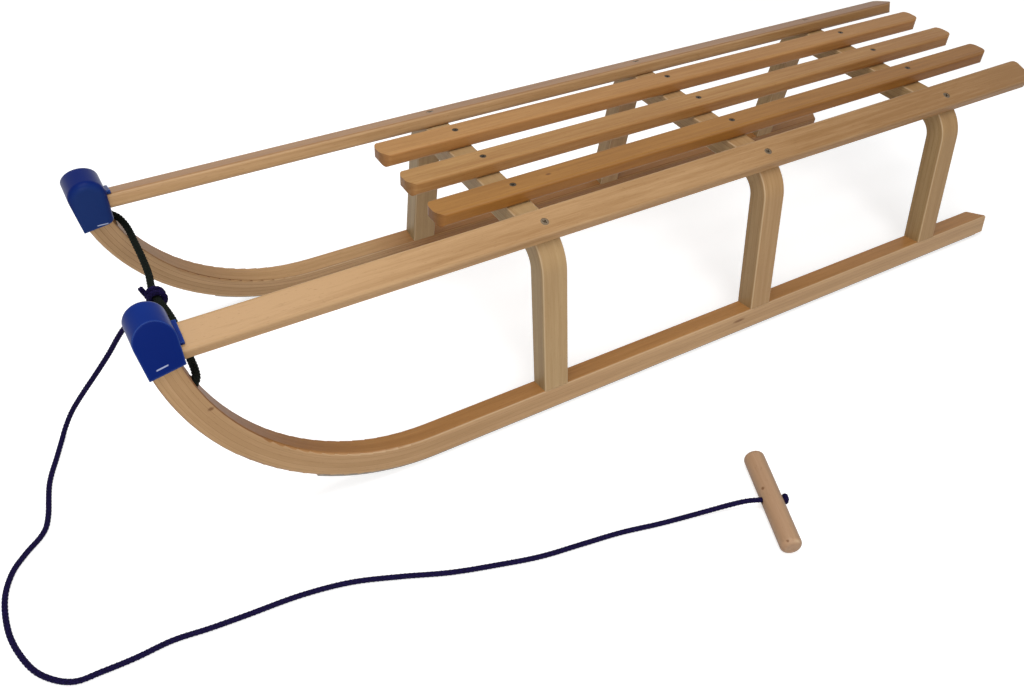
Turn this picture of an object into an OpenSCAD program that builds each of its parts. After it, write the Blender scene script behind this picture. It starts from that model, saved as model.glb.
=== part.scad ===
// Wooden sledge with two curved runners, three bent arches, a slatted deck,
// two side rails, plastic horn caps, a front cord and a tow rope with a handle.
// Units are millimetres. +X is the front, +Y the sledge's left, +Z is up.
// The origin is on the ground under the middle of the deck's length.

/* [Overall] */
// Length over the deck's rear end and the front of the horn caps
sledge_length = 1097; // [900:1:1300]
// Width over the outer edges of the runners, at the ground
runner_spread = 337.4; // [280:0.1:400]
// Outward lean of the runners and of the arch legs, degrees
splay = 8.5; // [0:0.1:15]
// Height of the arches' flat top above the ground
arch_top = 203.5; // [150:0.5:260]

/* [Runners] */
// Width of a runner, seen from above
runner_w = 24; // [18:0.5:32]
// Height of a runner's section
runner_h = 25; // [18:0.5:32]
// How far behind the origin the runners' outer sides end
runner_rear = 519; // [450:1:560]
// Slant of the runners' rear ends, seen from above, degrees
runner_mitre = 27; // [0:1:40]
// Where the straight part ends and the horn starts to rise
bend_start = 307; // [200:1:400]
// Radius of the runner's outer, convex face in the horn
horn_r = 240; // [180:1:320]
// Angle that the horn turns through, degrees
horn_turn = 83.5; // [60:0.1:88]
// Rounding of the long edges of runners and arches
bent_edge_r = 2.5; // [0.5:0.1:5]

/* [Runner shoes] */
// Thickness of the steel strip under each runner
shoe_t = 2.5; // [1:0.1:5]
// Distance from the runner's sides to the strip's edges
shoe_inset = 3; // [0:0.5:8]
// Angle round the horn where the strip ends, degrees
shoe_turn = 30; // [20:1:70]
// Shank diameter of the screws that hold the strip
shoe_screw_d = 4; // [3:0.1:6]

/* [Arches] */
// Where the front arch stands
arch_front_x = 164; // [50:1:250]
// Distance from one arch to the next
arch_pitch = 283; // [200:1:350]
// Width of an arch along the sledge
arch_w = 29; // [20:0.5:40]
// Thickness of the bent bar
arch_t = 24; // [16:0.5:32]
// Outer radius of the arches' shoulders
arch_r = 46; // [30:1:80]

/* [Deck] */
// Width of a slat
slat_w = 28.5; // [20:0.5:50]
// Thickness of a slat
slat_t = 15.5; // [8:0.5:24]
// Distance between the middles of two slats
slat_pitch = 60; // [40:1:90]
// Front end of the slats
slat_front = 255; // [180:1:350]
// How far behind the origin the slats end
slat_rear = 536; // [450:1:560]
// How much each outer slat closes in from the front arch to the rear one
slat_closing = 3.5; // [0:0.5:12]
// Rounding of the slats' ends underneath
slat_end_r = 6; // [1:0.5:12]
// Rounding of the slats' corners, seen from above
slat_corner_r = 11; // [2:0.5:14]
// Width of a side rail at its front end
rail_w = 30; // [20:0.5:50]
// How much wider the rail is at its rear end
rail_widen = 6; // [0:0.5:12]
// Thickness of a side rail
rail_t = 14; // [8:0.5:20]
// Outward slope of the rails, which lie on the arches' shoulders, degrees
rail_tilt = 18; // [0:0.5:30]
// Distance from the middle of the sledge to a rail's lower inner edge
rail_y = 101; // [80:0.5:120]
// Depth of the seat where the rail's inner edge meets the arch's flat top
rail_seat = 0.5; // [0:0.1:6]
// Rounding of the rails' rear corners, seen from above
rail_corner_r = 12; // [2:0.5:14]
// Rounding of the deck's long edges
deck_edge_r = 3.5; // [1:0.1:6]

/* [Screws] */
// Head diameter of the slat screws
slat_head_d = 7; // [6:0.1:12]
// Head diameter of the rail screws
rail_head_d = 8.5; // [6:0.1:14]
// Head diameter of the long screws of the legs and horns
long_head_d = 9; // [6:0.1:12]
// Shank diameter of the deck screws
deck_screw_d = 4.5; // [3:0.1:6]
// Length of the slat screws
slat_screw_l = 34; // [20:1:38]
// Length of the rail screws
rail_screw_l = 30; // [20:1:34]
// Length of the screws that hold the legs on the runners
leg_screw_l = 70; // [40:1:110]

/* [Horn caps] */
// Radius of the cap's round top, seen from the side
cap_dome_r = 17.5; // [15:0.5:25]
// Height of the middle of that round above the ground
cap_dome_z = 221.5; // [200:0.5:240]
// Wall thickness of the cap
cap_wall = 1.8; // [1:0.1:3]
// Distance from the middle of the sledge to the cap's inner side
cap_inner = 93; // [85:0.5:100]
// Inward lean of the cap's outer side, degrees
cap_lean = 23.5; // [5:0.5:30]
// Rounding of the cap's edges on its inner side
cap_round = 7; // [1:0.5:12]
// How far the cap reaches over the rail, from the cap's front
cap_reach = 39.5; // [36:0.5:60]
// Width of the lip that lies on the rail
cap_lip_w = 23; // [10:0.5:29]
// Thickness of the lip that lies on the rail
cap_lip_t = 3.5; // [2:0.5:6]

/* [Cords] */
// Diameter of the cord between the horns
front_cord_d = 8; // [5:0.5:12]
// Diameter of the tow rope
rope_d = 6; // [4:0.5:10]
// Length of the wooden pull handle
handle_l = 114; // [80:1:160]
// Largest diameter of the pull handle
handle_d = 21; // [14:0.5:32]

/* [Hidden] */
$fn = 48;

beech = "burlywood";
steel = "silver";
deck_rear = -sledge_length / 2;
cap_front = sledge_length / 2;
arch_xs = [arch_front_x, arch_front_x - arch_pitch, arch_front_x - 2 * arch_pitch];
slat_sides = [1, 0, -1];
slat_turn = atan(slat_closing / (2 * arch_pitch));
// the strip's inner edge, the lowest point of the leaning runner, is the ground
lift = shoe_t * cos(splay) + (runner_w - shoe_inset) * sin(splay);
foot_y = runner_spread / 2;
rail_z = arch_top - rail_seat;
deck_top = arch_top + slat_t;
horn_wood_r = horn_r - runner_h;
// arch shoulder: middle of the bend, measured across and up
bend_z = arch_top - arch_r;
bend_y = (foot_y * cos(splay) - arch_r - (bend_z - lift) * sin(splay)) / cos(splay);
leg_top = (foot_y - bend_y) * sin(splay) + (bend_z - lift) * cos(splay);
top_ease = 0.02;
top_bar_l = 2 * bend_y + 1.4;
// the rail's end meets the rear face of the horn; a screw from the front holds it
rail_low = (rail_z - rail_w * sin(rail_tilt) - lift) / cos(splay);
rail_front = bend_start + sqrt(pow(horn_wood_r, 2) - pow(horn_r - rail_low, 2));
rail_turn = atan(rail_widen / (rail_front - deck_rear));
joint_y = 124;
joint_z = 203;
joint_x = bend_start + sqrt(pow(horn_r, 2) - pow(horn_r - (joint_z - lift) / cos(splay), 2));
joint_screw_l = 65;
shoe_screw_l = 20;
// the strip's screws: on the flat, then one where the horn starts to rise
shoe_flat_xs = [-470, -260, 20, 230];
shoe_horn_turns = [25];
shoe_edge_r = 0.6;
head_sink = 0.3;
// how far a cutting body reaches past the wood
spare = 1;
// a height above the whole sledge
over_all = 260;
// the cap: middle of its round top, foot of its sides, and the foot of its leaning side
cap_mid_x = cap_front - cap_dome_r;
cap_foot = 170;
cap_outer = 143.5;
cap_lean_y = 143.2;
cap_lean_z = 196;
cap_nose_back = 8.5;
// a point of the rim's plane on the horn's outer side; the rim rises to the rear
rim_x = 543;
rim_z = 192;
rim_rise = 8.8;
bevel_y = 141;
bevel_z = 197;
// blind holes in the horns' rear faces take the front cord's ends
cord_end = [512, 139, 174];
cord_run = [6, 20, 2];
cord_hole_l = 26;

// helpers

module both_sides(side) {
    if (side > 0) children();
    else mirror([0, 1, 0]) children();
}

// the leaning plane of one runner: x along the sledge, y = 0 on its outer face,
// y negative inward, z up from the runner's underside
module side_frame() {
    translate([0, foot_y, lift]) rotate([splay, 0, 0]) children();
}

// the sloping frame of one rail: y outward and z up from its lower inner edge
module rail_frame() {
    translate([0, rail_y, rail_z]) rotate([-rail_tilt, 0, 0]) children();
}

module round_rect(w, h, r) {
    translate([r, 0]) square([w - 2 * r, h]);
    translate([0, r]) square([w, h - 2 * r]);
    for (x = [r, w - r], y = [r, h - r]) translate([x, y]) circle(r, $fn = 32);
}

// bar along +X with its section given as width (y from 0 to -w) and height (z from z0)
module straight_bar(x0, x1, y0, w, z0, h, r) {
    translate([x0, y0, z0]) rotate([90, 0, 90]) translate([-w, 0])
        linear_extrude(x1 - x0) round_rect(w, h, r);
}

// bent part of a runner or of its shoe; the section's outer face is at radius ro
module bent_bar(y0, w, ro, h, r, turn) {
    translate([bend_start, y0, horn_r]) rotate([90, 0, 0]) rotate([0, 0, -90])
        rotate_extrude(angle = turn, $fn = 180) translate([ro - h, 0]) round_rect(h, w, r);
}

// countersunk screw along -Z with its head's face at z = 0
module screw_body(head, shank, len) {
    cone = (head - shank) / 2;
    translate([0, 0, -cone]) cylinder(d1 = shank, d2 = head, h = cone);
    translate([0, 0, -len + shank / 2]) cylinder(d = shank, h = len - shank / 2 - cone);
    translate([0, 0, -len]) cylinder(d1 = 1, d2 = shank, h = shank / 2);
}

// what a screw cuts out of the wood or the steel: its own shape, open above the head
module screw_hole(head, shank, len) {
    screw_body(head, shank, len);
    translate([0, 0, -0.01]) cylinder(d = head, h = 4);
}

// the cross recess in a screw head
module cross_recess(head) {
    arm = head * 0.56;
    slot = head * 0.14;
    deep = head * 0.22;
    for (a = [45, 135]) rotate([0, 0, a])
        translate([-arm / 2, -slot / 2, -deep]) cube([arm, slot, deep + 1]);
}

module screw(head, shank, len) {
    color(steel) difference() {
        screw_body(head, shank, len);
        cross_recess(head);
    }
}

// places of the screws

module at_slat_screws(x) {
    for (k = slat_sides)
        translate([x, k * (slat_pitch - (arch_front_x - x) * tan(slat_turn)), deck_top - head_sink]) children();
}

module at_rail_screws(x) {
    rail_frame() translate([x, rail_w / 2, rail_t - head_sink]) children();
}

module at_leg_screws() {
    side_frame() for (x = arch_xs) translate([x, -runner_w / 2, head_sink])
        rotate([180, 0, 0]) children();
}

module at_shoe_screws() {
    side_frame() {
        for (x = shoe_flat_xs) translate([x, -runner_w / 2, head_sink - shoe_t])
            rotate([180, 0, 0]) children();
        for (t = shoe_horn_turns) translate([bend_start, -runner_w / 2, horn_r])
            rotate([0, -t, 0]) translate([0, 0, head_sink - horn_r - shoe_t])
                rotate([180, 0, 0]) children();
    }
}

module at_horn_screw() {
    translate([joint_x - 1, joint_y, joint_z]) rotate([0, 90, 0]) children();
}

module cord_hole() {
    translate(cord_end) rotate([0, acos(cord_run[2] / norm(cord_run)), atan2(cord_run[1], cord_run[0])])
        translate([0, 0, 0.5 - cord_hole_l]) cylinder(d = front_cord_d + 1, h = cord_hole_l);
}

// what the slanting saw cut takes off a runner's rear end
module rear_slant() {
    depth = runner_w + spare;
    translate([-runner_rear, 0, -spare]) linear_extrude(runner_h + 2 * spare)
        polygon([[-spare, spare], [-spare * tan(runner_mitre), spare],
            [depth * tan(runner_mitre), -depth], [-spare, -depth]]);
}

// wooden parts

module runner(side) {
    color(beech) both_sides(side) difference() {
        side_frame() difference() {
            union() {
                straight_bar(-runner_rear, bend_start, 0, runner_w, 0, runner_h, bent_edge_r);
                bent_bar(0, runner_w, horn_r, runner_h, bent_edge_r, horn_turn);
            }
            rear_slant();
        }
        at_leg_screws() screw_hole(long_head_d, deck_screw_d, leg_screw_l);
        at_shoe_screws() screw_body(shoe_screw_d * 2, shoe_screw_d, shoe_screw_l);
        at_horn_screw() screw_hole(long_head_d, deck_screw_d, joint_screw_l);
        cord_hole();
        // the tip's outer side is bevelled to fit the cap
        translate([bend_start, bevel_y, bevel_z]) rotate([cap_lean, 0, 0]) cube([horn_r + 20, 30, 60]);
    }
}

module arch_leg() {
    side_frame() translate([-arch_w / 2, -arch_t, runner_h])
        linear_extrude(leg_top - runner_h) round_rect(arch_w, arch_t, bent_edge_r);
    side_frame() translate([-arch_w / 2, -arch_r, leg_top]) rotate([90, 0, 90])
        rotate_extrude(angle = 90 - splay, $fn = 96)
            translate([arch_r - arch_t, 0]) round_rect(arch_t, arch_w, bent_edge_r);
}

// the flat top, a hair slimmer than the shoulders that it runs into
module arch_top_bar() {
    translate([-arch_w / 2 + top_ease, -top_bar_l / 2, arch_top - arch_t + top_ease]) rotate([90, 0, 0])
        mirror([0, 0, 1]) linear_extrude(top_bar_l)
            round_rect(arch_w - 2 * top_ease, arch_t - 2 * top_ease, bent_edge_r);
}

// one bar bent to a top and two legs, with a flat planed on each shoulder for the rail
module arch(x) {
    color(beech) difference() {
        translate([x, 0, 0]) {
            arch_top_bar();
            both_sides(1) arch_leg();
            both_sides(-1) arch_leg();
        }
        at_slat_screws(x) screw_body(slat_head_d, deck_screw_d, slat_screw_l);
        for (s = [1, -1]) both_sides(s) {
            rail_frame() translate([x - arch_w, -3, 0]) cube([2 * arch_w, rail_w + 3, rail_t]);
            at_rail_screws(x) screw_body(rail_head_d, deck_screw_d, rail_screw_l);
            at_leg_screws() screw_body(long_head_d, deck_screw_d, leg_screw_l);
        }
    }
}

// a board with one finished edge at y = 0, wider than the rail
module rail_bar(longer) {
    wide = 2 * rail_w;
    intersection() {
        straight_bar(deck_rear - longer, rail_front + longer, wide, wide, 0, rail_t, deck_edge_r);
        translate([deck_rear - longer, 0, -spare]) linear_extrude(rail_t + 2 * spare)
            round_rect(sledge_length, 2 * wide, rail_corner_r);
    }
}

// what two such boards have in common, one from each side, is a rail that widens to the rear
module side_rail(side) {
    color(beech) both_sides(side) difference() {
        rail_frame() intersection() {
            translate([0, rail_w, 0]) mirror([0, 1, 0]) rail_bar(0);
            translate([rail_front, 0, 0]) rotate([0, 0, rail_turn]) translate([-rail_front, 0, 0])
                rail_bar(spare);
        }
        for (x = arch_xs) at_rail_screws(x) screw_hole(rail_head_d, deck_screw_d, rail_screw_l);
        at_horn_screw() screw_body(long_head_d, deck_screw_d, joint_screw_l);
    }
}

module slat(k) {
    slat_l = slat_front + slat_rear;
    back = -slat_rear - arch_front_x;
    color(beech) difference() {
        translate([arch_front_x, k * slat_pitch, arch_top]) rotate([0, 0, k * slat_turn]) intersection() {
            straight_bar(back, back + slat_l, slat_w / 2, slat_w, 0, slat_t, deck_edge_r);
            translate([back, -slat_w / 2, -spare]) linear_extrude(slat_t + 2 * spare)
                round_rect(slat_l, slat_w, slat_corner_r);
            translate([back, slat_w, 0]) rotate([90, 0, 0]) linear_extrude(2 * slat_w)
                round_rect(slat_l, 2 * slat_t, slat_end_r);
        }
        for (x = arch_xs) at_slat_screws(x) screw_hole(slat_head_d, deck_screw_d, slat_screw_l);
    }
}

// steel parts

module runner_shoe(side) {
    color(steel) both_sides(side) difference() {
        side_frame() {
            straight_bar(8 - runner_rear, bend_start, -shoe_inset, runner_w - 2 * shoe_inset,
                -shoe_t, shoe_t, shoe_edge_r);
            bent_bar(-shoe_inset, runner_w - 2 * shoe_inset, horn_r + shoe_t, shoe_t,
                shoe_edge_r, shoe_turn);
        }
        at_shoe_screws() screw_hole(shoe_screw_d * 2, shoe_screw_d, shoe_screw_l);
    }
}

module shoe_screws(side) {
    both_sides(side) at_shoe_screws() screw(shoe_screw_d * 2, shoe_screw_d, shoe_screw_l);
}

module leg_screws(side) {
    both_sides(side) at_leg_screws() screw(long_head_d, deck_screw_d, leg_screw_l);
}

module slat_screws(x) {
    at_slat_screws(x) screw(slat_head_d, deck_screw_d, slat_screw_l);
}

module rail_screws(x) {
    for (s = [1, -1]) both_sides(s) at_rail_screws(x) screw(rail_head_d, deck_screw_d, rail_screw_l);
}

module horn_screws() {
    for (s = [1, -1]) both_sides(s) at_horn_screw() screw(long_head_d, deck_screw_d, joint_screw_l);
}

// plastic cap over a horn's tip and the rail's end: round from the side, with its outer
// side leaning in, open below and towards the rail, with a lip over the rail

// half of its section: out from the middle of the round top, and across the sledge
module cap_half(inset) {
    r = cap_dome_r - inset;
    c = cap_round - inset;
    outer = -cap_outer + inset;
    inner = -cap_inner - inset;
    translate([0, outer]) square([r, inner - outer - c]);
    translate([0, outer]) square([r - c, inner - outer]);
    translate([r - c, inner - c]) circle(c, $fn = 48);
}

module cap_block(inset) {
    intersection() {
        translate([cap_mid_x, 0, cap_dome_z]) {
            rotate([90, 0, 0]) rotate_extrude(angle = 180, $fn = 96) cap_half(inset);
            mirror([0, 0, 1]) linear_extrude(cap_dome_z - cap_foot) mirror([0, 1]) {
                cap_half(inset);
                mirror([1, 0]) cap_half(inset);
            }
        }
        // the outer side leans in above the rim
        translate([bend_start, 0, 0]) rotate([90, 0, 90]) linear_extrude(horn_r + cap_dome_r)
            polygon([[0, cap_foot], [cap_outer - inset, cap_foot], [cap_lean_y - inset, cap_lean_z],
                [cap_lean_y - inset - (over_all - cap_lean_z) * tan(cap_lean), over_all], [0, over_all]]);
        // the nose leans back below the round
        translate([0, over_all, 0]) rotate([90, 0, 0]) linear_extrude(over_all)
            polygon([[bend_start, cap_foot], [cap_front - cap_nose_back - inset, cap_foot],
                [cap_front - 0.3 - inset, cap_dome_z], [cap_front - inset, over_all], [bend_start, over_all]]);
    }
}

module horn_cap(side) {
    color("midnightblue") both_sides(side) difference() {
        union() {
            cap_block(0);
            rail_frame() translate([cap_front - cap_reach, 0.5, rail_t])
                cube([cap_reach / 2, cap_lip_w, cap_lip_t]);
        }
        cap_block(cap_wall);
        rail_frame() translate([deck_rear, 0, 0]) cube([rail_front - deck_rear, rail_w, rail_t]);
        side_frame() translate([rim_x, 0, rim_z]) rotate([0, rim_rise, 0])
            translate([-100, -120, -60]) cube([200, 200, 60]);
    }
}

// cords: a tube along a route of hand-placed points

function unit(v) = v / norm(v);
function tangent(p, i) = unit(p[min(i + 1, len(p) - 1)] - p[max(i - 1, 0)]);
function ring(p, i, r, ref, sides) =
    let (t = tangent(p, i), s = unit(cross(t, ref)), u = cross(s, t))
    [for (j = [0:sides - 1]) p[i] + r * (cos(360 * j / sides) * s + sin(360 * j / sides) * u)];

module tube(p, d, ref, sides = 8) {
    n = len(p);
    points = [for (i = [0:n - 1]) each ring(p, i, d / 2, ref, sides)];
    walls = [for (i = [0:n - 2], j = [0:sides - 1])
        let (a = i * sides + j, b = i * sides + (j + 1) % sides) each [
            [a, b, a + sides], [b, b + sides, a + sides]]];
    ends = [[for (j = [0:sides - 1]) sides - 1 - j], [for (j = [0:sides - 1]) (n - 1) * sides + j]];
    polyhedron(points, concat(walls, ends));
}

// from inside the left horn to inside the right horn; the rope pulls its middle forward
front_cord_route = [[512, 139, 174], [507.5, 130, 173], [505.5, 118, 172], [505, 108, 171.4],
    [504, 85, 170], [503, 60, 168.3], [503, 40, 167], [504, 24, 166], [506, 8, 165],
    [507, -8, 164.6], [506, -20, 164.8], [504, -32, 165.6], [503, -46, 166.5], [502.5, -62, 167.5],
    [502.5, -85, 169], [502.5, -105, 170.3], [503.5, -118, 171.4], [506.5, -130, 173],
    [512, -139, 174]];

module front_cord() {
    color("black") tube(front_cord_route, front_cord_d, [0, 0, 1], 10);
}

// two turns of the tow rope round the front cord, with a short free tail
knot_axis = [506.5, 1, 164.6];
knot_pitch = 6.4;
function knot_turn(a) = knot_axis + [knot_coil_r * cos(a), knot_pitch * (a / 360 - 1), knot_coil_r * sin(a)];
knot_coil_r = (front_cord_d + rope_d) / 2;
knot_route = concat([[517, -8, 173], [514.5, -7.5, 166]], [for (a = [60:-45:-615]) knot_turn(-a)]);

module rope_knot() {
    color("indigo") tube(knot_route, rope_d, [0, 1, 0]);
}

tow_route = [[506, 5.5, 157.5], [513, 1, 153], [523, -6, 146], [541, -12, 130], [560, -23, 97], [577, -26, 75],
    [592, -30, 55], [607, -38, 30], [618, -38, 12], [625, -31, 4], [634, -11, 3], [647, 20, 3],
    [656, 60, 3], [664, 78, 3], [682, 94, 3], [696, 110, 3], [706, 136, 3], [708, 173, 3],
    [700, 207, 3], [688, 227, 3], [671, 240, 3], [650, 242, 3], [623, 243, 3], [593, 242, 3],
    [563, 246, 3], [532, 249, 3], [485, 253, 3], [442, 262, 3], [401, 278, 3], [360, 296, 3],
    [318, 310, 3], [280, 321, 3], [240, 328, 3], [200, 335, 3], [160, 345, 3], [120, 354, 4],
    [90, 362, 7], [72, 369, 10], [53, 379, 11], [42, 384, 11]];

module tow_rope() {
    color("indigo") tube(tow_route, rope_d, [0, 0, 1]);
}

// the knot that keeps the rope from slipping back through the handle
handle_mid = [53, 379, handle_d / 2];
handle_turn = 67;
handle_edge_r = 5;
module stopper_knot() {
    color("indigo") translate([40, 385, 11]) rotate([0, 0, handle_turn + 90]) rotate([0, 90, 0])
        rotate_extrude($fn = 32) translate([4, 0]) circle(rope_d / 2, $fn = 16);
}

// turned wooden toggle, lying on the ground, with a hole across its middle
module pull_handle() {
    color("burlywood") translate(handle_mid) rotate([0, 0, handle_turn]) difference() {
        translate([handle_edge_r - handle_l / 2, 0, 0]) rotate([0, 90, 0]) rotate_extrude($fn = 64) {
            square([handle_d / 2, handle_l - 2 * handle_edge_r]);
            translate([0, -handle_edge_r]) square([handle_d / 2 - handle_edge_r, handle_l]);
            for (y = [0, handle_l - 2 * handle_edge_r])
                translate([handle_d / 2 - handle_edge_r, y]) circle(handle_edge_r, $fn = 32);
        }
        rotate([90, 0, 0]) cylinder(d = rope_d + 1, h = 2 * handle_d, center = true);
    }
}

runner(1);  // runner_left
runner(-1);  // runner_right
runner_shoe(1);  // runner_shoe_left
runner_shoe(-1);  // runner_shoe_right
shoe_screws(1);  // shoe_screws_left
shoe_screws(-1);  // shoe_screws_right
arch(arch_xs[0]);  // arch_front
arch(arch_xs[1]);  // arch_middle
arch(arch_xs[2]);  // arch_rear
leg_screws(1);  // leg_screws_left
leg_screws(-1);  // leg_screws_right
side_rail(1);  // side_rail_left
side_rail(-1);  // side_rail_right
slat(slat_sides[0]);  // slat_left
slat(slat_sides[1]);  // slat_centre
slat(slat_sides[2]);  // slat_right
slat_screws(arch_xs[0]);  // slat_screws_front
slat_screws(arch_xs[1]);  // slat_screws_middle
slat_screws(arch_xs[2]);  // slat_screws_rear
rail_screws(arch_xs[0]);  // rail_screws_front
rail_screws(arch_xs[1]);  // rail_screws_middle
rail_screws(arch_xs[2]);  // rail_screws_rear
horn_screws();
horn_cap(1);  // horn_cap_left
horn_cap(-1);  // horn_cap_right
front_cord();
rope_knot();
tow_rope();
stopper_knot();
pull_handle();
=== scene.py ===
import math

import bpy
from mathutils import Matrix, Vector


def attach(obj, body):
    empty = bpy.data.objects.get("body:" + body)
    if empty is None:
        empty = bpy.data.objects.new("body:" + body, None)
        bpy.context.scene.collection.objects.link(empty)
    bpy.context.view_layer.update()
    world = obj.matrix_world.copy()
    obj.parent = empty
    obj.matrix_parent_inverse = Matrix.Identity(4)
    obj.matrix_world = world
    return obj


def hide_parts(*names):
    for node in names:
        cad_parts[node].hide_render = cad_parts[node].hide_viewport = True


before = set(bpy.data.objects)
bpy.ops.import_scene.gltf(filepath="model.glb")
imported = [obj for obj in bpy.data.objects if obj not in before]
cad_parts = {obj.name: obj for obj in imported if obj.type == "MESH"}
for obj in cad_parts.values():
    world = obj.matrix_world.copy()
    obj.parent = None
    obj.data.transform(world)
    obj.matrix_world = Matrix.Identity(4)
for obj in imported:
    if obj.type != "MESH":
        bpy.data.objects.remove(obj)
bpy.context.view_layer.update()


# Camera
# A product view from the sledge's front left, looking down along the deck.
# Yaw and pitch aim it, roll tips the picture a little to the right.
CAMERA_PLACE = Vector((0.5892, 0.7344, 0.7251))
CAMERA_YAW, CAMERA_PITCH, CAMERA_ROLL = -122.7486, -41.9341, 2.9723
CAMERA_LENS, CAMERA_SENSOR = 33.287, 36.0


def aim_camera():
    """Puts the camera in its place and makes it the scene's own."""
    yaw, pitch, roll = (math.radians(a) for a in (CAMERA_YAW, CAMERA_PITCH, CAMERA_ROLL))
    ahead = Vector((math.cos(pitch) * math.cos(yaw), math.cos(pitch) * math.sin(yaw), math.sin(pitch)))
    level = ahead.cross(Vector((0, 0, 1))).normalized()
    above = level.cross(ahead)
    right = level * math.cos(roll) + above * math.sin(roll)
    up = above * math.cos(roll) - level * math.sin(roll)
    data = bpy.data.cameras.new("product_view")
    data.lens, data.sensor_width, data.sensor_fit = CAMERA_LENS, CAMERA_SENSOR, "HORIZONTAL"
    data.clip_start = 0.01
    camera = bpy.data.objects.new("product_view", data)
    bpy.context.scene.collection.objects.link(camera)
    turn = Matrix((right, up, -ahead)).transposed().to_4x4()
    camera.matrix_world = Matrix.Translation(CAMERA_PLACE) @ turn
    bpy.context.scene.camera = camera


aim_camera()


# Front cord
# A black braided cord of 8 mm between the two horns, its ends pushed into blind
# holes in the horns' rear faces, so that it hangs in a shallow curve. Routes are in mm.
class Reading:
    """A number inside a node tree, so that a formula can be written as one."""

    def __init__(self, tree, socket):
        self.tree, self.socket = tree, socket

    def step(self, operation, *others):
        node = self.tree.nodes.new("ShaderNodeMath")
        node.operation = operation
        for slot, value in zip(node.inputs, (self, *others)):
            if isinstance(value, Reading):
                self.tree.links.new(value.socket, slot)
            else:
                slot.default_value = value
        return Reading(self.tree, node.outputs[0])

    def __add__(self, other):
        return self.step("ADD", other)

    def __sub__(self, other):
        return self.step("SUBTRACT", other)

    def __mul__(self, other):
        return self.step("MULTIPLY", other)

    def __truediv__(self, other):
        return self.step("DIVIDE", other)

    def kept_within(self, low, high):
        return self.step("MAXIMUM", low).step("MINIMUM", high)


def smooth_route(points_mm, spacing):
    """Points in metres on one smooth curve through the route's own points."""
    route = [Vector(p) / 1000 for p in points_mm]
    ends = [route[0] * 2 - route[1], *route, route[-1] * 2 - route[-2]]
    smooth = []
    for before, here, there, after in zip(ends, ends[1:], ends[2:], ends[3:]):
        count = max(2, round((there - here).length / spacing))
        for n in range(count):
            t = n / count
            smooth.append(0.5 * (
                2 * here + (there - before) * t
                + (2 * before - 5 * here + 4 * there - after) * t ** 2
                + (3 * here - before - 3 * there + after) * t ** 3))
    return smooth + [route[-1]]


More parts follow.
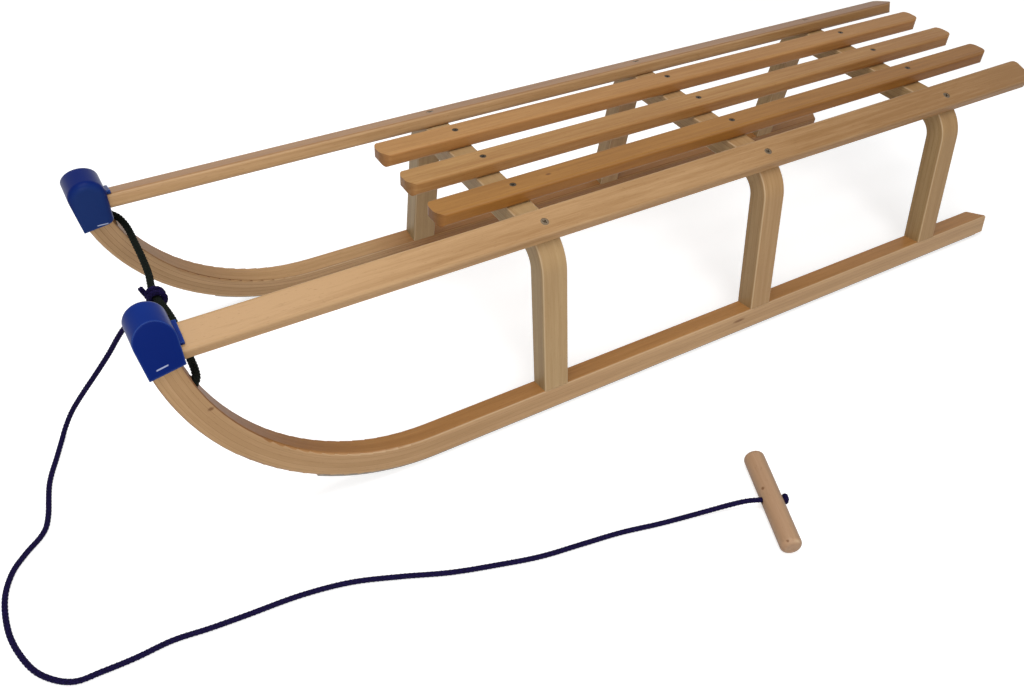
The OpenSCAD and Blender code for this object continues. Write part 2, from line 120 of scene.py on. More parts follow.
def braid_tree():
    """Geometry Nodes: plaits strands round a centreline, half of them each way."""
    tree = bpy.data.node_groups.new("plaited_cord", "GeometryNodeTree")
    face = tree.interface
    face.new_socket("Centreline", in_out="INPUT", socket_type="NodeSocketGeometry")
    for label, kind in (
        ("Strands each way", "NodeSocketInt"), ("Pitch", "NodeSocketFloat"),
        ("Middle radius", "NodeSocketFloat"), ("Rise", "NodeSocketFloat"),
        ("Strand radius", "NodeSocketFloat"), ("Core radius", "NodeSocketFloat"),
        ("Point spacing", "NodeSocketFloat"), ("Yarn", "NodeSocketMaterial"),
    ):
        face.new_socket(label, in_out="INPUT", socket_type=kind)
    face.new_socket("Cord", in_out="OUTPUT", socket_type="NodeSocketGeometry")
    new, link = tree.nodes.new, tree.links.new
    given, result = new("NodeGroupInput"), new("NodeGroupOutput")
    value = lambda name: Reading(tree, given.outputs[name])

    resample = new("GeometryNodeResampleCurve")
    resample.mode = "LENGTH"
    link(given.outputs["Centreline"], resample.inputs["Curve"])
    link(given.outputs["Point spacing"], resample.inputs["Length"])

    copies = new("GeometryNodeDuplicateElements")
    copies.domain = "SPLINE"
    link(resample.outputs["Curve"], copies.inputs["Geometry"])
    link((value("Strands each way") * 2).socket, copies.inputs["Amount"])

    # even strands wind one way and odd strands the other; the height of each
    # alternates, so that every strand goes over one and under the next
    along = Reading(tree, new("GeometryNodeSplineParameter").outputs["Length"])
    number = Reading(tree, copies.outputs["Duplicate Index"])
    way = number.step("MODULO", 2) * -2 + 1
    turns = along / value("Pitch")
    share = number.step("DIVIDE", 2).step("FLOOR") / value("Strands each way")
    angle = (turns * way + share) * (2 * math.pi)
    lift = (turns * value("Strands each way") * (2 * math.pi)).step("COSINE") * way
    radius = value("Middle radius") + lift * value("Rise")

    normal = new("GeometryNodeInputNormal").outputs["Normal"]
    tangent = new("GeometryNodeInputTangent").outputs["Tangent"]
    cross = new("ShaderNodeVectorMath")
    cross.operation = "CROSS_PRODUCT"
    link(tangent, cross.inputs[0])
    link(normal, cross.inputs[1])
    aside, across = new("ShaderNodeVectorMath"), new("ShaderNodeVectorMath")
    for node, source, size in (
        (aside, normal, radius * angle.step("COSINE")),
        (across, cross.outputs[0], radius * angle.step("SINE")),
    ):
        node.operation = "SCALE"
        link(source, node.inputs[0])
        link(size.socket, node.inputs["Scale"])
    offset = new("ShaderNodeVectorMath")
    link(aside.outputs[0], offset.inputs[0])
    link(across.outputs[0], offset.inputs[1])
    place = new("GeometryNodeSetPosition")
    link(copies.outputs["Geometry"], place.inputs["Geometry"])
    link(offset.outputs[0], place.inputs["Offset"])

    parts = new("GeometryNodeJoinGeometry")
    for source, size, sides in (
        (place.outputs["Geometry"], "Strand radius", 6),
        (resample.outputs["Curve"], "Core radius", 10),
    ):
        profile = new("GeometryNodeCurvePrimitiveCircle")
        profile.inputs["Resolution"].default_value = sides
        link(given.outputs[size], profile.inputs["Radius"])
        sweep = new("GeometryNodeCurveToMesh")
        sweep.inputs["Fill Caps"].default_value = True
        link(source, sweep.inputs["Curve"])
        link(profile.outputs["Curve"], sweep.inputs["Profile Curve"])
        link(sweep.outputs["Mesh"], parts.inputs["Geometry"])

    smooth, real, yarn = (new(kind) for kind in (
        "GeometryNodeSetShadeSmooth", "GeometryNodeRealizeInstances", "GeometryNodeSetMaterial"))
    link(parts.outputs["Geometry"], smooth.inputs["Geometry"])
    link(smooth.outputs["Geometry"], real.inputs["Geometry"])
    link(real.outputs["Geometry"], yarn.inputs["Geometry"])
    link(given.outputs["Yarn"], yarn.inputs["Material"])
    link(yarn.outputs["Geometry"], result.inputs["Cord"])
    return tree


PLAIT = braid_tree()
# the plait's proportions, each as a share of the cord's diameter
PITCH_SHARE, MIDDLE_SHARE, RISE_SHARE, STRANDS_SHARE, CORE_SHARE = 4.4, 0.315, 0.055, 0.78, 0.3
STEPS_PER_CROSSING = 4


def plaited_cord(name, centreline, diameter, strands, yarn):
    """One mesh: a plait round the centreline's points, half its strands wound each way."""
    data = bpy.data.curves.new(name, "CURVE")
    data.dimensions = "3D"
    spline = data.splines.new("POLY")
    spline.points.add(len(centreline) - 1)
    for point, at in zip(spline.points, centreline):
        point.co = (*at, 1)
    line = bpy.data.objects.new(name + "_line", data)
    bpy.context.scene.collection.objects.link(line)
    pitch = diameter * PITCH_SHARE
    sizes = {
        "Strands each way": strands, "Pitch": pitch, "Middle radius": diameter * MIDDLE_SHARE,
        "Rise": diameter * RISE_SHARE, "Strand radius": diameter * STRANDS_SHARE / strands,
        "Core radius": diameter * CORE_SHARE, "Point spacing": pitch / (STEPS_PER_CROSSING * strands),
        "Yarn": yarn,
    }
    plait = line.modifiers.new("plait", "NODES")
    plait.node_group = PLAIT
    for item in PLAIT.interface.items_tree:
        if item.in_out == "INPUT" and item.name in sizes:
            plait[item.identifier] = sizes[item.name]
    seen = bpy.context.evaluated_depsgraph_get()
    seen.update()
    mesh = bpy.data.meshes.new_from_object(line.evaluated_get(seen))
    bpy.data.objects.remove(line)
    cord = bpy.data.objects.new(name, mesh)
    bpy.context.scene.collection.objects.link(cord)
    return cord


def length_of(points):
    """Length of the line through the points."""
    return sum((b - a).length for a, b in zip(points, points[1:]))


def new_surface(name):
    """A fresh material, with its node tree and its shader."""
    material = bpy.data.materials.new(name)
    material.use_nodes = True
    return material, material.node_tree, material.node_tree.nodes["Principled BSDF"]


def clouds(tree, place, scale, detail=2, distort=0.0):
    """Soft random tones over a place, from 0 to 1."""
    noise = tree.nodes.new("ShaderNodeTexNoise")
    noise.inputs["Scale"].default_value = scale
    noise.inputs["Detail"].default_value = detail
    noise.inputs["Distortion"].default_value = distort
    tree.links.new(place, noise.inputs["Vector"])
    return Reading(tree, noise.outputs["Fac"])


def two_tones(tree, amount, low, high, dark, light):
    """A colour that runs from dark to light while the amount goes from low to high."""
    ramp = tree.nodes.new("ShaderNodeValToRGB")
    for stop, position, colour in zip(ramp.color_ramp.elements, (low, high), (dark, light)):
        stop.position, stop.color = position, (*colour, 1)
    tree.links.new(amount.socket, ramp.inputs["Fac"])
    return ramp.outputs["Color"]


def uneven(tree, shader, height, strength, depth, base=None):
    """Gives the shader fine relief of a depth in metres, over a base normal if there is one."""
    bump = tree.nodes.new("ShaderNodeBump")
    bump.inputs["Strength"].default_value = strength
    bump.inputs["Distance"].default_value = depth
    tree.links.new(height.socket, bump.inputs["Height"])
    if base:
        tree.links.new(base, bump.inputs["Normal"])
    tree.links.new(bump.outputs["Normal"], shader.inputs["Normal"])


def cord_yarn(name, dark, light, roughness):
    """Twisted filament yarn: fine fibres along each strand in two close tones."""
    material, tree, shader = new_surface(name)
    shader.inputs["Roughness"].default_value = roughness
    shader.inputs["Specular IOR Level"].default_value = 0.08
    fibres = clouds(tree, tree.nodes.new("ShaderNodeTexCoord").outputs["Object"], 900, 4)
    tree.links.new(two_tones(tree, fibres, 0.35, 0.7, dark, light), shader.inputs["Base Color"])
    uneven(tree, shader, fibres, 0.5, 0.0002)
    return material


FRONT_CORD_D, FRONT_STRANDS, ROUTE_STEP = 0.008, 8, 0.004
FRONT_ROUTE = [(512, 139, 174), (507.5, 130, 173), (505.5, 118, 172), (505, 108, 171.4), (504, 85, 170),
    (503, 60, 168.3), (503, 40, 167), (504, 24, 166), (506, 8, 165), (507, -8, 164.6), (506, -20, 164.8),
    (504, -32, 165.6), (503, -46, 166.5), (502.5, -62, 167.5), (502.5, -85, 169), (502.5, -105, 170.3),
    (503.5, -118, 171.4), (506.5, -130, 173), (512, -139, 174)]
front_line = smooth_route(FRONT_ROUTE, ROUTE_STEP)
black_yarn = cord_yarn("black_yarn", (0.003, 0.004, 0.003), (0.01, 0.014, 0.01), 0.8)
front_cord = plaited_cord("front_cord_plait", front_line, FRONT_CORD_D, FRONT_STRANDS, black_yarn)
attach(front_cord, "root")
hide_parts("front_cord")
length_of(front_line)


# Tow rope
# A thin plaited polypropylene rope, tied round the front cord with two turns and
# a short free tail, led down to the ground and out to the wooden handle.
ROPE_D, ROPE_STRANDS = 0.0055, 6
blue_yarn = cord_yarn("blue_yarn", (0.003, 0.002, 0.016), (0.014, 0.008, 0.065), 0.8)
TOW_ROUTE = [(506, 5.5, 157.5), (513, 1, 153), (523, -6, 146), (541, -12, 130), (560, -23, 97),
    (577, -26, 75), (592, -30, 55), (607, -38, 30), (618, -38, 12), (625, -31, 4), (634, -11, 3),
    (647, 20, 3), (656, 60, 3), (664, 78, 3), (682, 94, 3), (696, 110, 3), (706, 136, 3), (708, 173, 3),
    (700, 207, 3), (688, 227, 3), (671, 240, 3), (650, 242, 3), (623, 243, 3), (593, 242, 3),
    (563, 246, 3), (532, 249, 3), (485, 253, 3), (442, 262, 3), (401, 278, 3), (360, 296, 3),
    (318, 310, 3), (280, 321, 3), (240, 328, 3), (200, 335, 3), (160, 345, 3), (120, 354, 4),
    (90, 362, 7), (72, 369, 10), (53, 379, 11), (42, 384, 11)]
tow_line = smooth_route(TOW_ROUTE, ROUTE_STEP)
tow_rope = plaited_cord("tow_rope_plait", tow_line, ROPE_D, ROPE_STRANDS, blue_yarn)

# the knot's free tail, then its two turns round the front cord
KNOT_PLACE, KNOT_COIL, KNOT_STEP = (506.5, 1, 164.6), 7, 6.4
KNOT_TAIL, KNOT_TURNS = [(517, -8, 173), (514.5, -7.5, 166)], range(-60, 616, 45)
knot_route = list(KNOT_TAIL)
for degrees in KNOT_TURNS:
    turn = math.radians(degrees)
    knot_route.append((KNOT_PLACE[0] + KNOT_COIL * math.cos(turn),
        KNOT_PLACE[1] + KNOT_STEP * (turn / (2 * math.pi) - 1),
        KNOT_PLACE[2] + KNOT_COIL * math.sin(turn)))
rope_knot = plaited_cord("rope_knot_plait", smooth_route(knot_route, ROUTE_STEP / 2), ROPE_D,
    ROPE_STRANDS, blue_yarn)

# the stopper knot, one tight turn against the handle's far side
STOPPER_PLACE, STOPPER_COIL, HANDLE_TURN = (41, 384.6, 11), 3, 67
stopper_route = []
for degrees in range(0, 361, 30):
    turn, side = math.radians(degrees), math.radians(HANDLE_TURN)
    out = STOPPER_COIL * math.cos(turn)
    stopper_route.append((STOPPER_PLACE[0] + out * math.cos(side),
        STOPPER_PLACE[1] + out * math.sin(side), STOPPER_PLACE[2] + STOPPER_COIL * math.sin(turn)))
stopper = plaited_cord("stopper_knot_plait", smooth_route(stopper_route, ROUTE_STEP / 4), ROPE_D,
    ROPE_STRANDS, blue_yarn)

for piece, node in ((tow_rope, "tow_rope"), (rope_knot, "rope_knot"), (stopper, "stopper_knot")):
    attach(piece, "root")
    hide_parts(node)
length_of(tow_line)


# Runners
# Each is one beech bar, glued up from thin layers and bent over a form, so its
# grain and its glue lines follow the horn round. Satin lacquer.
SPLAY = math.radians(8.5)
FOOT_Y, SHOE_THICK, SHOE_REACH = 0.1687, 0.0025, 0.021
LIFT = SHOE_THICK * math.cos(SPLAY) + SHOE_REACH * math.sin(SPLAY)
BEND_START, HORN_R, RUNNER_LAYER = 0.307, 0.240, 0.005
# painted shade of the deck: from here towards the rear it deepens, over this length
UNDER_DECK_X, UNDER_DECK_FADE = 0.24, 1 / 12


def object_place(tree):
    """The place in the sledge's frame, as its three numbers in metres."""
    split = tree.nodes.new("ShaderNodeSeparateXYZ")
    tree.links.new(tree.nodes.new("ShaderNodeTexCoord").outputs["Object"], split.inputs[0])
    return [Reading(tree, socket) for socket in split.outputs]


def leaning(tree):
    """x, then the distance in from the outer face, then the height, in the leaning plane."""
    x, y, z = object_place(tree)
    out, up = y.step("ABSOLUTE") - FOOT_Y, z - LIFT
    inward = out * -math.cos(SPLAY) - up * math.sin(SPLAY)
    height = up * math.cos(SPLAY) - out * math.sin(SPLAY)
    return x, inward, height


def runner_grain(tree):
    """Along the bent bar, up through its layers, and across it."""
    x, inward, height = leaning(tree)
    ahead = (x - BEND_START).step("MAXIMUM", 0)
    down = (height - HORN_R) * -1
    radius = (ahead * ahead + down * down).step("SQRT")
    along = x.step("MINIMUM", BEND_START) + ahead.step("ARCTAN2", down) * HORN_R
    return along, (radius - HORN_R) * -1, inward


def laid_over(tree, share, under, over, kind="MULTIPLY"):
    """The colour under, with the colour over on it as strongly as the share says."""
    mix = tree.nodes.new("ShaderNodeMix")
    mix.data_type, mix.blend_type = "RGBA", kind
    tree.links.new(share.socket, mix.inputs["Factor"])
    for name, colour in (("A", under), ("B", over)):
        if isinstance(colour, tuple):
            mix.inputs[name].default_value = (*colour, 1)
        else:
            tree.links.new(colour, mix.inputs[name])
    return mix.outputs["Result"]


def knot_mark(tree, place, centre, size, slender):
    """How dark a knot or a hairline crack is: 0.9 in its middle, and 0 past its size."""
    away, flat, reach = (tree.nodes.new("ShaderNodeVectorMath") for _ in range(3))
    away.operation, flat.operation, reach.operation = "SUBTRACT", "MULTIPLY", "LENGTH"
    away.inputs[1].default_value = centre
    flat.inputs[1].default_value = (1 / slender, 1, 1)
    tree.links.new(place, away.inputs[0])
    tree.links.new(away.outputs[0], flat.inputs[0])
    tree.links.new(flat.outputs[0], reach.inputs[0])
    spot = Reading(tree, reach.outputs["Value"]) * (-1 / size) + 1
    return (spot * 1.6).kept_within(0, 0.9)


# what lies on the wood: dark marks; and painted light: a painted highlight on the rounded edges, and
# painted shade towards a round bar's outline
MARK_BROWN, EDGE_HIGHLIGHT_PALE, RIM_SHADE = (0.42, 0.3, 0.2), (0.66, 0.5, 0.33), (0.42, 0.42, 0.4)


def beech(name, grain, pale, deep, seed, aside=(0, 1, 0), flank=None, face=None,
        layer=0.0, glue_dark=0.5, roughness=0.58, sawn=0.0, painted_falloff=0.0, edge_highlight=0.45, under=None,
        rim=0.0, knots=()):
    """Lacquered beech: slow tone changes, streaks, short dark flecks, and glue lines if layered.

    Faces that look along the direction aside are the bar's flanks, and flank or face
    tints those or the others; the rounded edges between them get a painted highlight,
    as strong as eased says. And drift paints light falling off along the bar, under
    paints the deck's shade on the bar below it, and rim paints shade on a round bar
    towards its outline.
    """
    material, tree, shader = new_surface(name)
    new, link = tree.nodes.new, tree.links.new
    shader.inputs["Roughness"].default_value = roughness
    shader.inputs["Specular IOR Level"].default_value = 0.3
    shader.inputs["Coat Weight"].default_value = 0.12
    shader.inputs["Coat Roughness"].default_value = 0.22
    along, through, across = grain(tree)

    def pattern(lengthwise, crosswise, detail, distort=0.0):
        """Noise with so many marks a metre along the grain and across it."""
        place = new("ShaderNodeCombineXYZ")
        for socket, value in zip(place.inputs, (
                along * lengthwise + seed * 3.7, through * crosswise + seed, across * crosswise - seed)):
            link(value.socket, socket)
        return clouds(tree, place.outputs[0], 1, detail, distort)

    slow = pattern(3, 25, 2)
    streaks = pattern(9, 260, 4, 0.3)
    fine = pattern(60, 1500, 3)
    flecks = pattern(190, 1500, 1)
    # painted light: the tone rises or falls along the bar as the light falls off
    tone = slow * 0.5 + streaks * 0.7 + fine * 0.35 - 0.275 + along * painted_falloff
    mark = ((flecks - 0.66).step("MAXIMUM", 0) * 3.2).step("MINIMUM", 0.42)
    if layer:
        depth = through / layer + streaks * 0.16
        edge = (depth.step("FRACT") - 0.5).step("ABSOLUTE")
        tone = tone + (depth.step("FLOOR") * 1.7 + seed).step("SINE") * 0.1
        mark = mark + ((edge - 0.46) * 40).kept_within(0, 1) * glue_dark
    place = new("ShaderNodeTexCoord")
    for *centre, size, slender in knots:
        mark = mark + knot_mark(tree, place.outputs["Object"], centre, size, slender)

    # sawn ends, which face along the sledge, take the varnish darker
    facing, sideways = new("ShaderNodeSeparateXYZ"), new("ShaderNodeVectorMath")
    sideways.operation = "DOT_PRODUCT"
    sideways.inputs[1].default_value = aside
    link(place.outputs["Normal"], facing.inputs[0])
    link(place.outputs["Normal"], sideways.inputs[0])
    endwise = Reading(tree, facing.outputs[0]).step("ABSOLUTE")
    mark = mark + ((endwise * sawn - 0.3) * 1.8).kept_within(0, 1) * 0.6
    colour = laid_over(tree, mark, two_tones(tree, tone, 0.25, 0.75, deep, pale), MARK_BROWN)

    square = Reading(tree, sideways.outputs["Value"]).step("POWER", 2)
    if flank or face:
        share = ((square - 0.5) * (4 if flank else -4) + 0.5).kept_within(0, 1)
        colour = laid_over(tree, share, colour, flank or face)
    # painted highlight on the rounded edges between the flanks and the other faces
    rounding = (square * (square * -1 + 1) * 4).step("POWER", 3) * edge_highlight
    if not aside[0]:
        rounding = rounding * (endwise * -1 + 1).step("POWER", 3)
    colour = laid_over(tree, rounding, colour, EDGE_HIGHLIGHT_PALE, "MIX")
    # painted shade of the deck on the bar below it, deepening towards the rear
    if under:
        share = ((object_place(tree)[0] - UNDER_DECK_X) * (-1 / UNDER_DECK_FADE)).kept_within(0, 1)
        colour = laid_over(tree, share, colour, under)
    # painted shade towards a round bar's outline, where it turns away from the view
    if rim:
        outline = Reading(tree, new("ShaderNodeLayerWeight").outputs["Facing"])
        colour = laid_over(tree, outline.step("POWER", 2) * rim, colour, RIM_SHADE)
    link(colour, shader.inputs["Base Color"])
    uneven(tree, shader, fine - mark, 0.25, 0.0002)
    return material


def finish_node(node, material):
    """Gives a piece that comes straight from the frame its one material."""
    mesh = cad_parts[node].data
    mesh.materials.clear()
    mesh.materials.append(material)


RUNNER_PALE, RUNNER_DEEP = (0.5, 0.31, 0.155), (0.37, 0.215, 0.095)
# knots and cracks: their place, half their width, and how many times longer they are
HORN_KNOT, SIDE_CRACK = (0.5047, 0.1471, 0.15, 0.0022, 1.5), (-0.087, 0.1664, 0.0213, 0.0022, 5)
# painted light and shade along the near runner: darker towards its front
# painted shade: the far runner is darker below the deck
for seed, node, side, face, under, painted_falloff, glue_dark, knots in (
    (1, "runner_left", 1, (0.87, 0.68, 0.42), None, -0.35, 0.45, (HORN_KNOT, SIDE_CRACK)),
    (2, "runner_right", -1, (1.15, 1.13, 1.08), (0.66, 0.5, 0.32), 0, 1.1, ()),
):
    finish_node(node, beech(node + "_beech", runner_grain, RUNNER_PALE, RUNNER_DEEP, seed,
        aside=(0, side * math.cos(SPLAY), math.sin(SPLAY)), face=face, layer=RUNNER_LAYER,
        glue_dark=glue_dark, sawn=1, under=under, painted_falloff=painted_falloff, knots=knots))


# Runner shoes and screws
# A flat steel strip under each runner, held by countersunk screws, and the
# dull zinc-plated screws of the deck. The strip is brushed along the sledge.
def worn_steel(name, colour, roughness, stretch):
    """Metal with fine scratches drawn out along its stretch, which also vary its shine."""
    material, tree, shader = new_surface(name)
    new, link = tree.nodes.new, tree.links.new
    shader.inputs["Metallic"].default_value = 1
    size = new("ShaderNodeMapping")
    size.inputs["Scale"].default_value = stretch
    link(new("ShaderNodeTexCoord").outputs["Object"], size.inputs["Vector"])
    scratches = clouds(tree, size.outputs[0], 1, 5)
    shine = new("ShaderNodeMapRange")
    shine.inputs["To Min"].default_value, shine.inputs["To Max"].default_value = roughness
    link(scratches.socket, shine.inputs["Value"])
    link(shine.outputs[0], shader.inputs["Roughness"])
    dull = tuple(c * 0.7 for c in colour)
    link(two_tones(tree, scratches, 0.3, 0.7, dull, colour), shader.inputs["Base Color"])
    return material


strip_steel = worn_steel("strip_steel", (0.25, 0.23, 0.2), (0.25, 0.55), (12, 900, 900))
screw_zinc = worn_steel("screw_zinc", (0.1, 0.075, 0.05), (0.4, 0.6), (700, 700, 700))
rail_screw_zinc = worn_steel("rail_screw_zinc", (0.2, 0.15, 0.1), (0.4, 0.6), (700, 700, 700))
for node in ("runner_shoe_left", "runner_shoe_right"):
    finish_node(node, strip_steel)
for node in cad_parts:
    if "screws" in node:
        finish_node(node, rail_screw_zinc if "rail" in node else screw_zinc)


# Arches
# Three beech bars bent to a flat top and two leaning legs. They stand on the
# runners, each leg held by a long screw from below.
BEND_Z, ARCH_R, ARCH_LAYER = 0.1575, 0.046, 0.006
BEND_Y = FOOT_Y - (ARCH_R + (BEND_Z - LIFT) * math.sin(SPLAY)) / math.cos(SPLAY)
LEG_TOP = (FOOT_Y - BEND_Y) * math.sin(SPLAY) + (BEND_Z - LIFT) * math.cos(SPLAY)
ROUND_BEND = ARCH_R * (math.pi / 2 - SPLAY)


def arch_grain(tree):
    """Along the bent bar from the middle of the top, in from its outer face, and across it."""
    x, y, z = object_place(tree)
    _, inward, height = leaning(tree)
    aside, above = y.step("ABSOLUTE"), z - BEND_Z
    out = (aside - BEND_Y).step("MAXIMUM", 0)
    radius = (out * out + above * above).step("SQRT")
    in_leg = height.step("LESS_THAN", LEG_TOP) * aside.step("GREATER_THAN", BEND_Y)
    above_leg = in_leg * -1 + 1
    bend = out.step("ARCTAN2", above.step("MAXIMUM", 0.0001))
    along = ((aside.step("MINIMUM", BEND_Y) + bend * ARCH_R) * above_leg
        + (height * -1 + (BEND_Y + ROUND_BEND + LEG_TOP)) * in_leg)
    depth = (radius * -1 + ARCH_R) * above_leg + inward * in_leg
    return along, depth, x


# the arches step darker towards the rear: partly the beech's own tone, partly painted shade of the light
# falling off towards the rear
for seed, node, pale, deep in (
    (4, "arch_front", (0.46, 0.31, 0.152), (0.35, 0.215, 0.093)),
    (5, "arch_middle", (0.46, 0.29, 0.135), (0.35, 0.2, 0.083)),
    (6, "arch_rear", (0.42, 0.26, 0.112), (0.32, 0.18, 0.07)),
):
    finish_node(node, beech(node + "_beech", arch_grain, pale, deep, seed, aside=(1, 0, 0),
        flank=(0.88, 0.93, 0.95), layer=ARCH_LAYER))


# Side rails
# Two straight beech rails, screwed on the flats of the arches' shoulders so that
# they slope outward. Their front ends go into the plastic caps.
def straight_grain(tree):
    """Along the sledge, up through the board, and across it."""
    x, y, z = object_place(tree)
    return x, z, y


RAIL_TILT = math.radians(18)
RAIL_PALE, RAIL_DEEP = (0.45, 0.27, 0.125), (0.27, 0.135, 0.042)
# painted light: each rail gets lighter towards its front, as the light falls off towards the rear
for seed, node, side, face in (
    (7, "side_rail_left", 1, None),
    (8, "side_rail_right", -1, (0.72, 0.62, 0.5)),
):
    finish_node(node, beech(node + "_beech", straight_grain, RAIL_PALE, RAIL_DEEP, seed,
        aside=(0, side * math.cos(RAIL_TILT), -math.sin(RAIL_TILT)), face=face, sawn=1, painted_falloff=0.5,
        edge_highlight=0.1))


# Slats
# Three narrow beech slats on the arches' tops, darker and warmer than the rails.
TOP_KNOT, FLANK_KNOT = (0.1227, 0.0599, 0.219, 0.002, 2), (0.0705, 0.073, 0.202, 0.0028, 2)
# painted light: each slat gets lighter towards its front, as the light falls off towards the rear
for seed, node, pale, deep, knots in (
    (9, "slat_left", (0.34, 0.155, 0.028), (0.22, 0.09, 0.012), (TOP_KNOT, FLANK_KNOT)),
    (10, "slat_centre", (0.42, 0.235, 0.08), (0.27, 0.118, 0.026), ()),
    (11, "slat_right", (0.41, 0.21, 0.067), (0.29, 0.13, 0.031), ()),
):
    finish_node(node, beech(node + "_beech", straight_grain, pale, deep, seed,
        flank=(1, 0.92, 0.84), sawn=1, painted_falloff=0.3, edge_highlight=0.06, knots=knots))


# Handle
# A turned beech toggle with a hole across its middle, sanded and left bare.
def handle_grain(tree):
    """Along the turned bar, up, and across it."""
    x, y, z = object_place(tree)
    side = math.radians(HANDLE_TURN)
    return x * math.cos(side) + y * math.sin(side), z, y * math.cos(side) - x * math.sin(side)


HANDLE_KNOTS = ((0.0564, 0.3676, 0.0178, 0.0022, 1), (0.0795, 0.4266, 0.0192, 0.0018, 1))
# painted shade: rim darkens the handle towards its outline
finish_node("pull_handle", beech("handle_beech", handle_grain, (0.43, 0.265, 0.15), (0.33, 0.185, 0.1),
    13, roughness=0.6, rim=0.9, knots=HANDLE_KNOTS))


# Horn caps
# A moulded plastic cap over each horn's tip and rail end, deep blue, with the
# faint grain of its mould and one slim pale line near its lower edge; painted light
# and shade on its dome and flanks, and a painted highlight along its creases.
CREASE_R, LINE_HALF, LINE_FADE = 0.0025, 0.0007, 1 / 3000
# the second of these is the painted highlight along the creases
CLOUDY_BLUE, CREASE_HIGHLIGHT_BLUE, LINE_BLUE = (0.6, 0.7, 0.8), (0.06, 0.12, 0.36), (0.5, 0.56, 0.75)


def moulded_blue(name, dome, flank, line):
    """Blue plastic with painted light and shade on its dome and flat flanks, painted
    highlights along its creases, and one pale line.

    The line is given by its front end in x and z, its slope and its length.
    """
    material, tree, shader = new_surface(name)
    new, link = tree.nodes.new, tree.links.new
    shader.inputs["Roughness"].default_value = 0.3
    shader.inputs["Specular IOR Level"].default_value = 0.04
    place = new("ShaderNodeTexCoord")
    grain = clouds(tree, place.outputs["Object"], 700, 3)
    cloud = clouds(tree, place.outputs["Object"], 25)

    # painted highlight along the creases: the crease is where the softened normal leaves the true one
    soft, hard = new("ShaderNodeBevel"), new("ShaderNodeNewGeometry")
    soft.samples = 8
    soft.inputs["Radius"].default_value = CREASE_R
    crease = new("ShaderNodeVectorMath")
    crease.operation = "DOT_PRODUCT"
    link(soft.outputs[0], crease.inputs[0])
    link(hard.outputs["Normal"], crease.inputs[1])
    crease_highlight = ((Reading(tree, crease.outputs["Value"]) * -1 + 1) * 3).kept_within(0, 0.6)

    facing = new("ShaderNodeSeparateXYZ")
    link(place.outputs["Normal"], facing.inputs[0])
    outward = Reading(tree, facing.outputs[1])
    x, _, z = object_place(tree)
    front_x, front_z, slope, length = line
    beside = (z - front_z - (x - front_x) * slope).step("ABSOLUTE")
    beyond = (x - (front_x - length / 2)).step("ABSOLUTE")
    on_line = (((beside - LINE_HALF) * (-1 / LINE_FADE)).kept_within(0, 1)
        * ((beyond - length / 2) * (-1 / (3 * LINE_FADE))).kept_within(0, 1)
        * (outward - 0.5).kept_within(0, 1) * 1.6)

    # painted light and shade: the dome and the flanks of the one blue take different tones
    colour = laid_over(tree, outward.step("POWER", 2), dome, flank, "MIX")
    colour = laid_over(tree, cloud, colour, CLOUDY_BLUE)
    colour = laid_over(tree, crease_highlight, colour, CREASE_HIGHLIGHT_BLUE, "MIX")
    colour = laid_over(tree, on_line, colour, LINE_BLUE, "MIX")
    link(colour, shader.inputs["Base Color"])
    uneven(tree, shader, grain, 0.2, 0.0001, soft.outputs[0])
    return material


# painted light and shade: both caps are the same blue part, each dome and flank toned as its light falls
for side, dome, flank, line in (
    ("left", (0.005, 0.026, 0.19), (0.002, 0.015, 0.14), (0.5371, 0.2023, -0.162, 0.0106)),
    ("right", (0.002, 0.014, 0.13), (0.014, 0.036, 0.15), (0.5305, 0.1933, 0.01, 0.011)),
):
    finish_node("horn_cap_" + side, moulded_blue("cap_blue_" + side, dome, flank, line))


# Floor and light
# A white studio floor under one large soft lamp overhead and a weaker one from
# the left; the floor keeps the sledge's soft shadow.
def seen_directly(tree):
    """1 for what the camera, a mirror or glass shows, and 0 for light on its way."""
    ray = tree.nodes.new("ShaderNodeLightPath")
    camera, glossy, through = (Reading(tree, ray.outputs[name]) for name in (
        "Is Camera Ray", "Is Glossy Ray", "Is Transmission Ray"))
    return (camera + glossy + through).step("MINIMUM", 1)


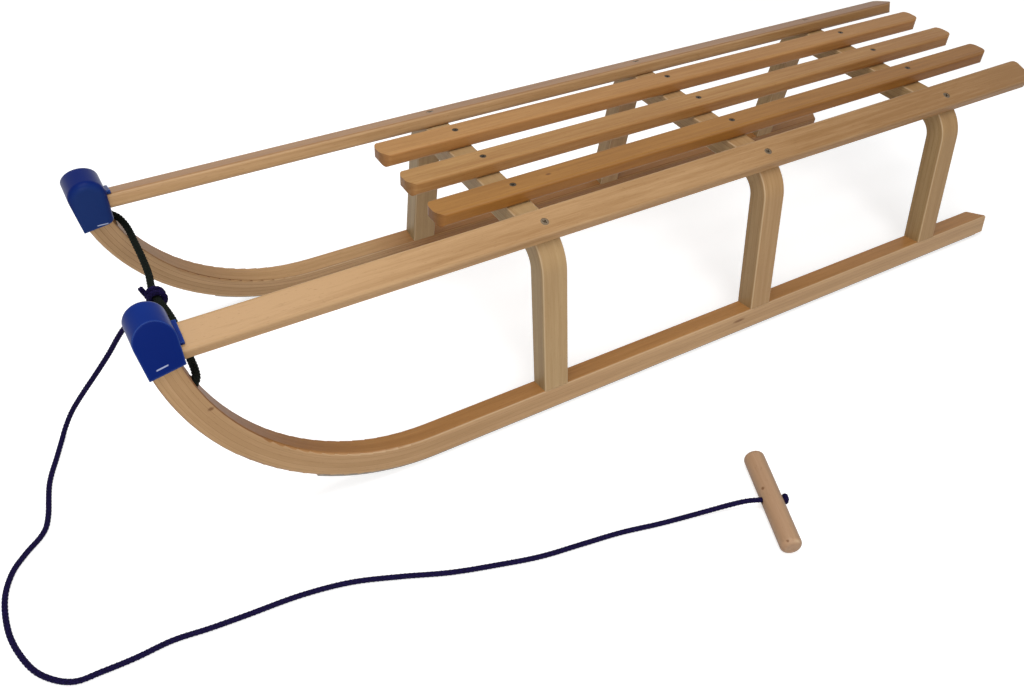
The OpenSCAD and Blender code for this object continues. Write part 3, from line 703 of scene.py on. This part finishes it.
def lit_white(name, glow):
    """Pale floor that shows a glow of its own, which rises to white far from the sledge."""
    material, tree, shader = new_surface(name)
    shader.inputs["Base Color"].default_value = (0.75, 0.75, 0.75, 1)
    shader.inputs["Roughness"].default_value = 0.9
    shader.inputs["Specular IOR Level"].default_value = 0.1
    shader.inputs["Emission Color"].default_value = (1, 1, 1, 1)
    x, y, _ = object_place(tree)
    rise = (((x * x + y * y).step("SQRT") - 1) * 0.3).kept_within(0, 1 - glow)
    tree.links.new((seen_directly(tree) * (rise + glow)).socket, shader.inputs["Emission Strength"])
    return material


FLOOR_HALF, FLOOR_GLOW = 12.0, 0.6
floor_mesh = bpy.data.meshes.new("studio_floor")
floor_mesh.from_pydata([(-FLOOR_HALF, -FLOOR_HALF, 0), (FLOOR_HALF, -FLOOR_HALF, 0),
    (FLOOR_HALF, FLOOR_HALF, 0), (-FLOOR_HALF, FLOOR_HALF, 0)], [], [(0, 1, 2, 3)])
floor_mesh.materials.append(lit_white("studio_white", FLOOR_GLOW))
floor = bpy.data.objects.new("studio_floor", floor_mesh)
bpy.context.scene.collection.objects.link(floor)


def soft_lamp(name, place, target, size, power):
    """A square lamp of a size in metres and a power in watts, turned to its target."""
    data = bpy.data.lights.new(name, "AREA")
    data.shape, data.size, data.energy = "SQUARE", size, power
    lamp = bpy.data.objects.new(name, data)
    bpy.context.scene.collection.objects.link(lamp)
    aim = (Vector(target) - Vector(place)).to_track_quat("-Z", "Y")
    lamp.matrix_world = Matrix.Translation(place) @ aim.to_matrix().to_4x4()


soft_lamp("overhead", (0.45, 0.1, 1.9), (0.1, 0, 0), 1.3, 23)
soft_lamp("left_front", (0.7, 1.7, 1.1), (0.3, 0, 0.1), 1.0, 16)

AIR_LIGHT = 0.27
world = bpy.data.worlds.new("studio_air")
world.use_nodes = True
bpy.context.scene.world = world
air = world.node_tree
glow = air.nodes["Background"]
glow.inputs["Color"].default_value = (1, 1, 1, 1)
air.links.new((seen_directly(air) * (1 - AIR_LIGHT) + AIR_LIGHT).socket, glow.inputs["Strength"])

bpy.context.scene.view_settings.view_transform = "Standard"
